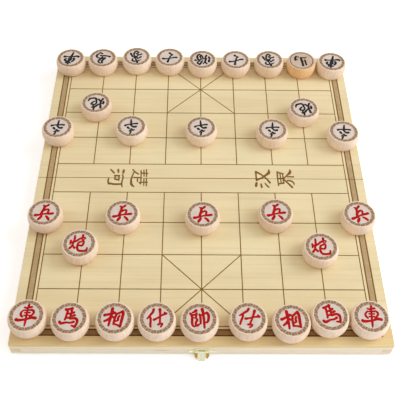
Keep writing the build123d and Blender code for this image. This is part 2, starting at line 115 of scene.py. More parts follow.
MARSHAL = (
    ((33, 94, 12), (24, 87, 9), (15, 83, 7)),
    ((4, 78, 9), (13, 62, 10), (13, 34, 10), (16, 17, 9), (25, 10, 7)),
    ((11, 71, 8), (26, 71, 8), (36, 78, 10)),
    ((36, 77, 10), (32, 56, 8), (39, 44, 9), (32, 30, 9), (35, 15, 10), (47, 20, 9)),
    ((14, 55, 6), (32, 56, 6)),
    ((51, 73, 9), (55, 55, 9), (56, 26, 8)),
    ((52, 66, 8), (69, 74, 8), (88, 83, 9)),
    ((88, 83, 10), (96, 68, 11), (95, 46, 10), (88, 33, 9), (78, 32, 6)),
    ((64, 101, 13), (69, 75, 10), (73, 40, 10), (75, 4, 8)),
)
SOLDIER = (
    ((68, 97, 10), (54, 88, 9), (40, 94, 7)),
    ((48, 89, 11), (45, 71, 11), (37, 52, 11), (32, 40, 10)),
    ((45, 60, 8), (60, 68, 9), (72, 65, 9), (69, 50, 9), (66, 41, 8)),
    ((2, 32, 13), (20, 34, 10), (53, 40, 8), (83, 41, 11), (97, 42, 11)),
    ((37, 25, 10), (29, 15, 12), (22, 6, 10)),
    ((61, 26, 8), (71, 15, 11), (77, 4, 10)),
)
CANNON = (
    ((4, 66, 9), (3, 46, 8)),
    ((24, 95, 9), (23, 72, 9), (17, 52, 9), (15, 36, 9), (2, 20, 10)),
    ((15, 40, 8), (28, 22, 10)),
    ((4, 58, 8), (18, 56, 9), (35, 65, 9), (52, 78, 9), (68, 84, 8)),
    ((67, 100, 10), (66, 88, 10), (64, 76, 8)),
    ((66, 81, 8), (79, 83, 10), (70, 71, 8)),
    ((49, 56, 8), (72, 63, 9), (73, 48, 9), (66, 36, 9), (49, 38, 8)),
    ((49, 56, 9), (43, 42, 9), (43, 20, 10), (53, 6, 10), (79, 4, 10), (93, 11, 9), (95, 23, 7)),
)
PRIVATE = (
    ((52, 102, 10), (48, 88, 9)),
    ((28, 76, 8), (37, 79, 9), (46, 72, 11), (52, 80, 8), (60, 86, 7)),
    ((62, 67, 9), (73, 60, 12)),
    ((17, 52, 12), (31, 55, 10), (42, 51, 9), (51, 42, 9)),
    ((9, 30, 10), (29, 31, 8), (51, 36, 8), (74, 39, 7), (92, 46, 12)),
    ((52, 42, 11), (53, 23, 11), (55, 3, 8)),
)
SCHOLAR = (
    ((2, 52, 12), (17, 51, 10), (52, 61, 8), (80, 65, 10), (97, 64, 14)),
    ((64, 95, 13), (57, 72, 10), (49, 49, 9), (43, 36, 9), (32, 26, 8)),
    ((30, 25, 8), (42, 18, 9), (51, 9, 14)),
)
GENERAL = (
    ((8, 70, 11), (7, 56, 12)),
    ((3, 41, 12), (9, 28, 11)),
    ((22, 88, 9), (32, 71, 10), (27, 48, 10), (22, 43, 8)),
    ((45, 88, 7), (32, 70, 8)),
    ((27, 46, 9), (30, 31, 9), (24, 14, 11)),
    ((68, 95, 11), (58, 78, 10), (50, 61, 8)),
    ((68, 94, 9), (79, 86, 10), (81, 77, 9), (72, 66, 8)),
    ((88, 59, 9), (95, 57, 13)),
    ((29, 43, 8), (50, 45, 8), (66, 53, 8)),
    ((66, 62, 9), (78, 49, 10), (83, 31, 11), (81, 15, 10), (70, 4, 9)),
    ((47, 34, 8), (53, 19, 10), (69, 5, 9)),
    ((61, 38, 8), (65, 23, 9)),
)
ELEPHANT = (
    ((44, 103, 12), (43, 91, 11), (31, 84, 7), (20, 78, 5)),
    ((47, 87, 8), (64, 93, 9), (79, 85, 11), (76, 71, 8)),
    ((52, 84, 9), (56, 70, 9), (66, 60, 9)),
    ((41, 68, 9), (30, 60, 8), (20, 53, 11)),
    ((46, 60, 9), (54, 53, 14), (66, 46, 9), (70, 29, 10), (64, 10, 10), (51, 3, 10), (38, 15, 9)),
    ((53, 52, 8), (36, 36, 8), (17, 29, 10)),
    ((40, 33, 7), (52, 25, 11)),
    ((38, 15, 8), (44, 24, 6)),
    ((66, 52, 6), (77, 53, 9), (86, 38, 11), (93, 24, 12)),
)
RUNNING_CHARIOT = (
    ((47, 91, 8), (59, 86, 9), (78, 88, 10)),
    ((38, 79, 9), (29, 69, 11), (25, 58, 12), (29, 52, 11)),
    ((60, 78, 7), (74, 76, 9), (85, 69, 12), (85, 61, 12), (79, 55, 9)),
    ((44, 66, 8), (64, 66, 8)),
    ((42, 54, 8), (62, 54, 8)),
    ((-2, 38, 13), (11, 34, 11), (30, 37, 8), (52, 38, 7), (76, 38, 7), (91, 37, 14)),
    ((64, 98, 11), (62, 81, 13), (54, 62, 16), (48, 40, 14), (41, 22, 11), (36, 5, 9)),
)
RUNNING_HORSE = (
    ((48, 97, 9), (52, 84, 10), (43, 66, 11), (33, 52, 12)),
    ((50, 96, 9), (64, 98, 9), (74, 90, 10), (76, 78, 11), (68, 64, 10), (61, 55, 9), (52, 47, 14)),
    ((54, 74, 6), (70, 74, 7)),
    ((44, 58, 7), (60, 61, 7)),
    ((62, 54, 6), (76, 52, 7), (88, 45, 9), (93, 33, 12), (87, 20, 11), (78, 10, 8), (69, 2, 9)),
    ((69, 3, 8), (55, 12, 10)),
    ((1, 39, 13), (16, 34, 9), (38, 31, 11), (54, 31, 8), (66, 29, 10)),
)
SPARE_HORSE = (
    ((95, 80, 10), (75, 88, 13), (53, 88, 12)),
    ((95, 80, 7), (92, 69, 7), (81, 67, 6)),
    ((53, 88, 8), (61, 74, 7)),
    ((75, 86, 6), (77, 76, 6)),
    ((81, 52, 11), (57, 50, 14), (25, 46, 13), (-3, 44, 14)),
    ((56, 28, 10), (29, 26, 10), (6, 23, 11)),
    ((75, 57, 9), (81, 39, 9), (72, 31, 8)),
    ((78, 29, 7), (85, 18, 8)),
    ((39, 46, 6), (47, 26, 6)),
)
RUNNING_CANNON = (
    ((3, 62, 8), (1, 50, 11), (3, 41, 9)),
    ((17, 93, 12), (18, 80, 11), (21, 62, 10), (18, 46, 10), (15, 32, 9), (7, 20, 12)),
    ((18, 42, 10), (34, 23, 10)),
    ((3, 57, 7), (20, 60, 7), (34, 68, 9), (48, 81, 11), (57, 90, 9)),
    ((61, 107, 9), (59, 95, 10), (64, 82, 9), (62, 72, 9), (50, 62, 9), (45, 52, 9), (48, 36, 10),
     (48, 24, 11), (57, 14, 11), (74, 14, 10), (90, 19, 11), (99, 37, 7)),
    ((60, 92, 8), (71, 89, 9)),
    ((62, 65, 6), (76, 64, 10), (73, 52, 10), (61, 41, 8)),
)

# River words, drawn in the older flat style: wide, low, with flared last strokes
CHU = (
    ((4, 90, 8), (22, 92, 7), (41, 93, 8)),
    ((6, 76, 7), (40, 79, 7)),
    ((24, 99, 7), (23, 62, 7)),
    ((55, 93, 8), (74, 93, 7), (92, 94, 8)),
    ((56, 79, 7), (90, 80, 7)),
    ((74, 99, 7), (73, 62, 7)),
    ((10, 60, 8), (40, 62, 7), (82, 62, 8)),
    ((82, 62, 8), (74, 52, 6)),
    ((49, 62, 8), (48, 42, 7), (48, 22, 8)),
    ((48, 42, 7), (68, 43, 9)),
    ((28, 46, 8), (18, 28, 8), (3, 12, 7)),
    ((12, 22, 7), (34, 14, 8), (62, 7, 11), (84, 10, 14), (98, 24, 7)),
)
HE = (
    ((9, 90, 14), (21, 88, 13)),
    ((5, 58, 12), (19, 60, 10)),
    ((3, 14, 7), (12, 24, 9), (23, 36, 9)),
    ((34, 85, 9), (46, 89, 8), (76, 84, 9), (99, 88, 7)),
    ((38, 68, 9), (38, 40, 8)),
    ((38, 66, 8), (62, 66, 9)),
    ((62, 66, 9), (57, 42, 8)),
    ((38, 44, 8), (58, 44, 8)),
    ((84, 82, 10), (85, 44, 10), (81, 14, 11)),
    ((83, 10, 10), (66, 6, 10), (50, 9, 7)),
)
HAN = (
    ((10, 94, 14), (25, 90, 14)),
    ((4, 62, 12), (20, 65, 9)),
    ((3, 22, 8), (12, 32, 9), (25, 42, 7)),
    ((42, 88, 13), (62, 90, 9), (88, 90, 12)),
    ((88, 90, 12), (74, 62, 9), (54, 36, 9), (28, 14, 11)),
    ((44, 84, 10), (54, 60, 9), (70, 34, 12), (84, 16, 16), (99, 16, 8)),
)
JIE = (
    ((13, 94, 8), (22, 92, 9), (26, 62, 9)),
    ((20, 94, 8), (50, 96, 8), (88, 95, 10)),
    ((86, 95, 9), (78, 62, 9)),
    ((26, 78, 7), (80, 80, 7)),
    ((25, 64, 8), (79, 65, 8)),
    ((51, 95, 8), (51, 66, 8)),
    ((44, 60, 9), (28, 42, 9), (4, 18, 12)),
    ((54, 58, 8), (70, 40, 9), (86, 22, 16), (100, 22, 8)),
    ((40, 42, 8), (38, 20, 9), (26, 6, 9), (18, 6, 6)),
    ((62, 40, 8), (61, 4, 8)),
)

# ---------------------------------------------------------------- drawing in the plane


def area_of(loop):
    """Area inside a closed outline, positive where it runs anticlockwise."""
    return sum(a[0] * b[1] - b[0] * a[1] for a, b in zip(loop, loop[1:] + loop[:1])) / 2


def smooth_path(points):
    """Points of a Catmull-Rom curve through (x, y, width) points."""
    if len(points) == 2:
        return [
            tuple(a + (b - a) * s / STRAIGHT_STEPS for a, b in zip(*points))
            for s in range(STRAIGHT_STEPS + 1)
        ]
    padded = [points[0], *points, points[-1]]
    path = []
    for p0, p1, p2, p3 in zip(padded, padded[1:], padded[2:], padded[3:]):
        for s in range(CURVE_STEPS):
            t = s / CURVE_STEPS
            path.append(tuple(
                0.5 * (2 * b + (c - a) * t + (2 * a - 5 * b + 4 * c - d) * t * t
                       + (3 * b - a - 3 * c + d) * t ** 3)
                for a, b, c, d in zip(p0, p1, p2, p3)
            ))
    return path + [points[-1]]


def stroke_outline(points):
    """The closed outline of one brush stroke, with rounded ends."""
    path = smooth_path(points)
    directions = [
        math.atan2(after[1] - before[1], after[0] - before[0])
        for before, after in zip(path[:1] + path[:-1], path[1:] + path[-1:])
    ]
    left, right = [], []
    for (x, y, width), direction in zip(path, directions):
        across_x, across_y = -math.sin(direction) * width / 2, math.cos(direction) * width / 2
        left.append((x + across_x, y + across_y))
        right.append((x - across_x, y - across_y))

    def cap(spot, direction):
        x, y, width = spot
        turns = [direction + math.pi / 2 - math.pi * s / CAP_STEPS for s in range(1, CAP_STEPS)]
        return [(x + width / 2 * math.cos(a), y + width / 2 * math.sin(a)) for a in turns]

    far_cap, near_cap = cap(path[-1], directions[-1]), cap(path[0], directions[0] + math.pi)
    return left + far_cap + right[::-1] + near_cap


def written(strokes, size, centre=(0, 0), turn=0.0, weight=1.0):
    """Outlines of a character fitted in size, (width, height), about a centre."""
    cosine, sine = math.cos(turn), math.sin(turn)
    outlines = []
    for stroke in strokes:
        outline = []
        for x, y in stroke_outline([(x, y, w * weight) for x, y, w in stroke]):
            u, v = (x - 50) * size[0] / 100, (y - 50) * size[1] / 100
            outline.append((centre[0] + u * cosine - v * sine, centre[1] + u * sine + v * cosine))
        outlines.append(outline)
    return outlines


def rectangle(x0, y0, x1, y1):
    return [(x0, y0), (x1, y0), (x1, y1), (x0, y1)]


def circle(radius):
    turns = [2 * math.pi * s / CIRCLE_STEPS for s in range(CIRCLE_STEPS)]
    return [(radius * math.cos(a), radius * math.sin(a)) for a in turns]


# ---------------------------------------------------------------- meshes


class Solid:
    """Collects corners in millimetres and faces, and turns them into one mesh object."""

    def __init__(self):
        self.corners, self.faces, self.slots = [], [], []

    def corner(self, x, y, z):
        self.corners.append((x * MM, y * MM, z * MM))
        return len(self.corners) - 1

    def loop(self, outline, z):
        return [self.corner(x, y, z) for x, y in outline]

    def face(self, corners, slot=0):
        self.faces.append(corners)
        self.slots.append(slot)

    def strip(self, lower, upper, slot=0):
        for a, b, c, d in zip(lower, lower[1:] + lower[:1], upper[1:] + upper[:1], upper):
            self.face((a, b, c, d), slot)

    def inlay(self, outline, z, layers, slot=0):
        """Fills an outline. Layers are (outlines, depth, slot); later ones win, depth None is a hole."""
        points, loops, owners = [], [], []

        def add(polygon, owner):
            polygon = polygon if area_of(polygon) > 0 else polygon[::-1]
            loops.append(list(range(len(points), len(points) + len(polygon))))
            points.extend(Vector(p) for p in polygon)
            owners.append(owner)

        add(outline, -1)
        for number, (polygons, _, _) in enumerate(layers):
            for polygon in polygons:
                add(polygon, number)
        found = delaunay_2d_cdt(points, [], loops, 0, MERGE_WITHIN)
        spots, triangles, sources = found[0], found[2], found[5]

        corners = {}

        def at(spot, depth):
            if (spot, depth) not in corners:
                corners[spot, depth] = self.corner(*spots[spot], z - depth)
            return corners[spot, depth]

        depth_beside, walls = {}, []
        for triangle, source in zip(triangles, sources):
            if 0 not in source:     # outside the outline, which is loop 0
                continue
            top = max(owners[loop] for loop in source)
            depth, layer_slot = (0.0, slot) if top < 0 else layers[top][1:]
            if depth is None:
                continue
            self.face([at(spot, depth) for spot in triangle], layer_slot)
            for a, b in zip(triangle, triangle[1:] + triangle[:1]):
                depth_beside[a, b] = depth
                walls.append((a, b, depth, layer_slot))
        for a, b, depth, layer_slot in walls:
            other = depth_beside.get((b, a), 0.0)
            if depth > other:
                self.face((at(a, other), at(b, other), at(b, depth), at(a, depth)), layer_slot)

    def build(self, name, materials, seed):
        """The mesh object, with the seed that shifts its share of the wood."""
        mesh = bpy.data.meshes.new(name)
        mesh.from_pydata(self.corners, [], self.faces)
        for material in materials:
            mesh.materials.append(material)
        mesh.polygons.foreach_set("material_index", self.slots)
        mesh.polygons.foreach_set("use_smooth", [True] * len(self.faces))
        mesh.set_sharp_from_angle(angle=math.radians(SHARP_ANGLE))
        seeds = mesh.attributes.new("seed", "FLOAT", "POINT").data
        seeds.foreach_set("value", [seed] * len(self.corners))
        mesh.update()
        made = bpy.data.objects.new(name, mesh)
        bpy.context.scene.collection.objects.link(made)
        return made


# ---------------------------------------------------------------- material nodes


def tone(red, green, blue):
    """A colour as the screen shows it, 0 to 255, for a shader."""
    return tuple(
        (c / 255 / 12.92 if c / 255 <= 0.04045 else ((c / 255 + 0.055) / 1.055) ** 2.4)
        for c in (red, green, blue)
    ) + (1.0,)


class Nodes:
    """Short ways to add shader nodes to a tree."""

    def __init__(self, tree):
        self.tree = tree

    def set(self, node, key, value):
        if isinstance(value, bpy.types.NodeSocket):
            self.tree.links.new(value, node.inputs[key])
        else:
            node.inputs[key].default_value = value

    def node(self, kind, inputs=None, **settings):
        node = self.tree.nodes.new("ShaderNode" + kind)
        for key, value in settings.items():
            setattr(node, key, value)
        for key, value in (inputs or {}).items():
            self.set(node, key, value)
        return node

    def math(self, operation, a, b=0.0):
        return self.node("Math", {0: a, 1: b}, operation=operation).outputs[0]

    def vector(self, operation, a, b):
        return self.node("VectorMath", {0: a, 1: b}, operation=operation).outputs[0]

    def length(self, a):
        return self.node("VectorMath", {0: a}, operation="LENGTH").outputs["Value"]

    def range(self, value, low, high, to_low=0.0, to_high=1.0):
        return self.node(
            "MapRange",
            {"Value": value, "From Min": low, "From Max": high, "To Min": to_low, "To Max": to_high},
        ).outputs["Result"]

    def mix(self, factor, a, b, blend="MIX"):
        """The colour mix of two colours; 0, 6, 7 and 2 are the node's sockets for colours."""
        node = self.node("Mix", {0: factor, 6: a, 7: b}, data_type="RGBA", blend_type=blend)
        return node.outputs[2]

    def seen(self):
        """1 for what the camera sees, straight or by way of a mirror or glass, and 0 for other light."""
        path = self.node("LightPath").outputs
        straight = self.math("MAXIMUM", path["Is Camera Ray"], path["Is Glossy Ray"])
        return self.math("MAXIMUM", straight, path["Is Transmission Ray"])


class Finish(Nodes):
    """A node material. Seeded, each piece sees its own part of the wood."""

    def __init__(self, name, seeded=True, **shader):
        self.material = bpy.data.materials.new(name)
        self.material.use_nodes = True
        super().__init__(self.material.node_tree)
        self.shader = self.tree.nodes["Principled BSDF"]
        self.seeded = seeded
        for key, value in shader.items():
            self.set(self.shader, key.replace("_", " "), value)

    def where(self, kind="Object"):
        """Places on the object in metres, or another output of the same node."""
        return self.node("TexCoord").outputs[kind]

    def part(self, axis, kind="Object"):
        return self.node("SeparateXYZ", {0: self.where(kind)}).outputs[axis]

    def own(self):
        """The seed of the mesh."""
        return self.node("Attribute", attribute_name="seed", attribute_type="GEOMETRY").outputs["Fac"]

    def noise(self, scale, detail=3.0, rough=0.55, distortion=0.0):
        spot = self.where()
        if self.seeded:
            spot = self.vector("ADD", spot, self.vector("MULTIPLY", self.own(), SEED_SHIFT))
        return self.node(
            "TexNoise",
            {"Vector": self.vector("MULTIPLY", spot, scale), "Scale": 1.0, "Detail": detail,
             "Roughness": rough, "Distortion": distortion},
        ).outputs["Fac"]

    def touch(self, colour, tint, value, low, high, amount=1.0):
        """Mixes a tint into a colour, more of it up to an amount as the value goes from low to high."""
        return self.mix(self.range(value, low, high, 0.0, amount), colour, tint)

    def shade_near_end(self, colour, tint):
        """Multiplies a colour by a tint at the latch end of the board, in front of the near row of pieces:
        painted shade that those pieces cast there.
        """
        return self.mix(self.range(self.part(1), SHADE_START, SHADE_END), colour, tint, "MULTIPLY")

    def add_knot(self, colour, centre, streak):
        """Darkens a flat knot about a centre, its edge broken by the streaks of the grain."""
        off = self.vector("MULTIPLY", self.vector("SUBTRACT", self.where(), centre), KNOT_SQUEEZE)
        off = self.math("ADD", self.length(off), self.range(streak, 0.3, 0.7, -0.35, 0.35))
        return self.mix(self.range(off, 1.0, 0.25, 0.0, 0.62), colour, KNOT_TONE)

    def bump(self, height, distance, strength):
        node = self.node("Bump", {"Height": height, "Distance": distance, "Strength": strength})
        return node.outputs["Normal"]

    def finish(self, colour, roughness, normal):
        self.set(self.shader, "Base Color", colour)
        self.set(self.shader, "Roughness", roughness)
        self.set(self.shader, "Normal", normal)
        return self.material


def along(axis, long, across):
    """Noise scale for grain that runs along one axis."""
    return tuple(long if index == axis else across for index in range(3))


# ---------------------------------------------------------------- the finishes

SEED_SHIFT = (1.7, 2.3, 3.1)
# The strip along Y where the near end is multiplied darker, as painted shade of the near row of pieces
SHADE_START, SHADE_END = -0.178, -0.183     # in metres along Y
KNOT_TONE, KNOT_SQUEEZE = tone(186, 140, 92), (85, 60, 800)


def sawn_wood(name, base, pale, dark, axis, end_tone=None, bite=0.55, front_shade=None, knot=None):
    """Planed pale wood with grain along an axis; its ends show end grain where end_tone is given."""
    f = Finish(name, seeded=False, Specular_IOR_Level=0.16)
    drift = f.noise(along(axis, 5, 34), 2.0)
    streak = f.noise(along(axis, 9, 420), 4.0, 0.6, 0.4)
    fibre = f.noise(along(axis, 90, 3600), 2.0, 0.7)
    fleck = f.noise(along(axis, 330, 2400), 1.0, 0.5)
    colour = f.touch(base, pale, drift, 0.35, 0.68)
    colour = f.touch(colour, dark, streak, 0.50, 0.74, bite)
    colour = f.touch(colour, dark, fibre, 0.52, 0.80, 0.22)
    colour = f.touch(colour, dark, fleck, 0.64, 0.78, 0.25)
    # Painted shade of the near row of pieces, multiplied in at the near end of the board
    if front_shade is not None:
        colour = f.shade_near_end(colour, front_shade)
    if knot is not None:
        colour = f.add_knot(colour, knot, streak)
    if end_tone is not None:
        pores = f.noise((2600, 2600, 2600), 2.0, 0.6)
        rings = f.noise((120, 120, 700), 2.0)
        end = f.touch(end_tone, dark, rings, 0.4, 0.7, 0.5)
        end = f.touch(end, dark, pores, 0.5, 0.75, 0.4)
        colour = f.touch(colour, end, f.math("ABSOLUTE", f.part(axis, "Normal")), 0.55, 0.8)
    height = f.math("ADD", f.math("MULTIPLY", streak, 0.6), f.math("MULTIPLY", fibre, 0.5))
    return f.finish(colour, f.range(fibre, 0.3, 0.7, 0.46, 0.60), f.bump(height, 0.00009, 0.45))


def turned_wood(name, base, pale, dark, fleck_tone):
    """Side of a turned piece: upright grain with the short dark flecks of beech."""
    f = Finish(name, Specular_IOR_Level=0.18)
    drift = f.noise((55, 55, 14), 2.0)
    streak = f.noise((520, 520, 38), 3.0, 0.55, 0.3)
    fleck = f.noise((2300, 2300, 420), 1.0, 0.4)
    fibre = f.noise((3800, 3800, 160), 2.0, 0.7)
    turning = f.noise((60, 60, 3400), 1.0)
    colour = f.touch(base, pale, drift, 0.32, 0.68)
    colour = f.touch(colour, dark, streak, 0.48, 0.76, 0.6)
    colour = f.touch(colour, fleck_tone, fleck, 0.60, 0.72, 0.5)
    colour = f.touch(colour, dark, fibre, 0.5, 0.8, 0.15)
    darker = f.math("FRACT", f.math("MULTIPLY", f.own(), 7.31))
    colour = f.mix(f.math("MULTIPLY", darker, 0.32), colour, dark)
    height = f.math("ADD", f.math("MULTIPLY", turning, 0.5), f.math("MULTIPLY", fibre, 0.4))
    return f.finish(colour, f.range(streak, 0.3, 0.7, 0.45, 0.58), f.bump(height, 0.00007, 0.4))


def sanded_top(name, base, pale, dark):
    """Top of a turned piece: sanded end grain with fine pores."""
    f = Finish(name, Specular_IOR_Level=0.14)
    drift = f.noise((160, 90, 160), 2.0)
    pores = f.noise((2500, 2500, 2500), 2.0, 0.65)
    rays = f.noise((340, 1900, 340), 2.0, 0.6)
    colour = f.touch(base, pale, drift, 0.3, 0.7)
    colour = f.touch(colour, dark, pores, 0.50, 0.70, 0.42)
    colour = f.touch(colour, dark, rays, 0.52, 0.74, 0.28)
    return f.finish(colour, f.range(pores, 0.3, 0.7, 0.5, 0.66), f.bump(pores, 0.00006, 0.4))


def scorched(name, base, deep, pale, scale=(900, 900, 900), roughness=0.68, front_shade=None):
    """Wood burnt brown by a hot tool or beam, uneven along its run."""
    f = Finish(name, Specular_IOR_Level=0.1)
    char = f.noise(scale, 3.0, 0.6)
    patch = f.noise(tuple(s / 9 for s in scale), 2.0)
    colour = f.touch(base, deep, char, 0.36, 0.66)
    colour = f.touch(colour, pale, patch, 0.52, 0.72, 0.5)
    # Painted shade of the near row of pieces, multiplied in at the near end of the board
    if front_shade is not None:
        colour = f.shade_near_end(colour, front_shade)
    rough = f.range(char, 0.3, 0.7, roughness - 0.08, roughness + 0.08)
    return f.finish(colour, rough, f.bump(char, 0.00008, 0.5))


def paint(name, base, deep, edge):
    """Brushed-in lacquer in the engraved strokes: pooled darker, thin where the wood shows."""
    f = Finish(name, Specular_IOR_Level=0.14)
    pool = f.noise((420, 420, 420), 2.0)
    grit = f.noise((3000, 3000, 3000), 2.0, 0.6)
    colour = f.touch(base, deep, pool, 0.35, 0.65)
    colour = f.touch(colour, edge, grit, 0.62, 0.78, 0.55)
    height = f.math("ADD", pool, f.math("MULTIPLY", grit, 0.25))
    return f.finish(colour, f.range(grit, 0.3, 0.7, 0.40, 0.62), f.bump(height, 0.00010, 0.5))


def brass(name, base, pale, dark, roughness=0.26, painted_reflection=None):
    """Bright stamped brass: rolling marks, soft stains and rubbed spots.

    The last argument, (tone, from, to), gives a painted reflection: the tone takes over between two distances
    from the middle of the part.
    """
    f = Finish(name, seeded=False, Metallic=1.0)
    stain = f.noise((190, 190, 190), 3.0, 0.6)
    rolled = f.noise((90, 2600, 2600), 2.0, 0.6)
    speck = f.noise((2600, 2600, 2600), 2.0, 0.5)
    colour = f.touch(base, pale, stain, 0.35, 0.65)
    # Painted reflection: the given tone takes over away from the middle of the part
    if painted_reflection is not None:
        reflection_tone, start, end = painted_reflection
        colour = f.touch(colour, reflection_tone, f.math("ABSOLUTE", f.part(0)), start, end)
    colour = f.touch(colour, dark, speck, 0.60, 0.76, 0.6)
    stained = f.range(stain, 0.3, 0.7, roughness - 0.06, roughness + 0.12)
    rough = f.math("ADD", stained, f.range(speck, 0.55, 0.75, 0.0, 0.2))
    return f.finish(colour, rough, f.bump(f.math("ADD", rolled, speck), 0.00003, 0.35))


# Multiplied darker at the near end: painted shade of the near row of pieces.
VENEER = sawn_wood(
    "panel_veneer", tone(232, 212, 167), tone(239, 222, 179), tone(214, 188, 138), 0,
    bite=0.4, front_shade=(0.97, 0.90, 0.77, 1.0),
)
RAIL_X = sawn_wood(
    "rail_wood_x", tone(248, 233, 206), tone(251, 239, 217), tone(224, 198, 158), 0, tone(243, 227, 199),
    knot=(-0.038, -0.200, 0.0078),
)
RAIL_Y = sawn_wood(
    "rail_wood_y", tone(240, 223, 194), tone(246, 231, 205), tone(218, 192, 150), 1, tone(240, 222, 192),
)
# Multiplied darker at the near end: painted shade of the near row of pieces.
LINE = scorched(
    "burnt_wood", tone(144, 98, 10), tone(118, 76, 4), tone(160, 116, 28), front_shade=(0.42, 0.36, 0.5, 1.0),
)
WORDS = scorched("burnt_words", tone(142, 103, 42), tone(118, 81, 30), tone(160, 122, 60))
# Multiplied darker at the near end: partly a darker burn of the band there, partly painted shade of the near
# row of pieces.
BAND = scorched(
    "burnt_band", tone(194, 168, 126), tone(172, 144, 104), tone(204, 180, 142), (700, 700, 700),
    front_shade=(0.66, 0.52, 0.38, 1.0),
)
CUT_EDGE = scorched("cut_edge", tone(200, 142, 72), tone(184, 124, 54), tone(212, 160, 94), (300, 1800, 1800))

PIECE_SIDE = turned_wood(
    "piece_wood", tone(242, 220, 199), tone(248, 230, 212), tone(228, 193, 158), tone(206, 164, 128),
)
PIECE_FACE = sanded_top("piece_top", tone(219, 200, 186), tone(230, 215, 204), tone(184, 162, 146))
AMBER_SIDE = turned_wood(
    "piece_wood_amber", tone(238, 192, 138), tone(244, 205, 155), tone(212, 158, 98), tone(182, 126, 72),
)
AMBER_FACE = sanded_top("piece_top_amber", tone(207, 179, 156), tone(217, 191, 170), tone(174, 144, 120))
RING_LOW = scorched(
    "ring_burnt", tone(156, 120, 88), tone(132, 98, 66), tone(174, 138, 106), (1200, 1200, 1200),
)
RING_HIGH = scorched(
    "ring_raised", tone(212, 184, 154), tone(196, 168, 136), tone(222, 198, 170), (1500, 1500, 1500), 0.6,
)
GREY_LINE = scorched(
    "ring_line_grey", tone(112, 98, 92), tone(88, 76, 70), tone(140, 122, 108), (1500, 1500, 1500),
)
RED = paint("red_paint", tone(198, 2, 4), tone(160, 0, 0), tone(208, 34, 26))
BLACK = paint("black_paint", tone(38, 36, 40), tone(22, 21, 26), tone(92, 82, 76))

BRASS = brass("brass", tone(226, 204, 142), tone(240, 226, 180), tone(160, 124, 52))
PALE_BRASS = brass("pale_brass", tone(221, 214, 172), tone(236, 230, 200), tone(160, 136, 70), 0.3)
# The hasp's flanks beside its pale tongue turn dark gold: a painted dark reflection.
HASP_BRASS = brass(
    "hasp_brass", tone(206, 204, 172), tone(222, 220, 196), tone(168, 150, 92), 0.3,
    (tone(168, 136, 44), 0.0034, 0.0044),
)

# ---------------------------------------------------------------- the board


def half_outline(side, inset):
    """One half from above, moved in by inset except at the fold, its outer corners rounded."""
    x, outer, radius = WIDTH / 2 - inset, HALF_DEPTH - inset, CORNER_R - inset
    outline = [(x, FOLD_GAP)]
    for start in (0, 90):
        centre_x = (x - radius) * (1 if start == 0 else -1)
        for step in range(CORNER_STEPS + 1):
            a = math.radians(start + 90 / CORNER_STEPS * step)
            outline.append((centre_x + radius * math.cos(a), outer - radius + radius * math.sin(a)))
    outline.append((-x, FOLD_GAP))
    return outline if side > 0 else [(px, -py) for px, py in outline[::-1]]


def diagonal(x0, y0, x1, y1, width):
    length = math.hypot(x1 - x0, y1 - y0)
    nx, ny = -(y1 - y0) / length * width / 2, (x1 - x0) / length * width / 2
    return [(x0 + nx, y0 + ny), (x0 - nx, y0 - ny), (x1 - nx, y1 - ny), (x1 + nx, y1 + ny)]


def band_outlines(side, start, end):
    """Left, right and end part of the border band, mitred at the corners."""
    xs, xe, ys, ye = GRID_X + start, GRID_X + end, side * (GRID_Y + start), side * (GRID_Y + end)
    return [
        [(-xe, 0.0), (-xs, 0.0), (-xs, ys), (-xe, ye)],
        [(xs, 0.0), (xe, 0.0), (xe, ye), (xs, ys)],
        [(-xs, ys), (xs, ys), (xe, ye), (-xe, ye)],
    ]


def board_lines(side):
    """The grid, the palace diagonals and the two edge lines of the band on one half."""
    half = LINE_W / 2
    lines = []
    for rank in range(5):
        y = side * (RIVER_Y + rank * CELL)
        lines.append(rectangle(-GRID_X - half, y - half, GRID_X + half, y + half))
    low, high = sorted((side * RIVER_Y, side * GRID_Y))
    for file in range(-3, 4):
        lines.append(rectangle(CELL * file - half, low, CELL * file + half, high))
    low, high = sorted((0.0, side * GRID_Y))
    for x in (-GRID_X, GRID_X):
        lines.append(rectangle(x - half, low, x + half, high))
    inner, outer = side * (GRID_Y - 2 * CELL), side * GRID_Y
    lines.append(diagonal(-CELL, inner, CELL, outer, LINE_W))
    lines.append(diagonal(-CELL, outer, CELL, inner, LINE_W))
    lines += band_outlines(side, BAND_START, BAND_START + BAND_EDGE_W)
    lines += band_outlines(side, BAND_END - BAND_EDGE_W, BAND_END)
    return lines


def river_words():
    """Left pair read from the right, right pair from the left, each across the fold."""
    words = []
    for strokes, x, turn in ((CHU, -68.6, -90), (HE, -93.6, -90), (HAN, 68.6, 90), (JIE, 93.4, 90)):
        words += written(strokes, RIVER_WORD, (x, 0), math.radians(turn))
    return words


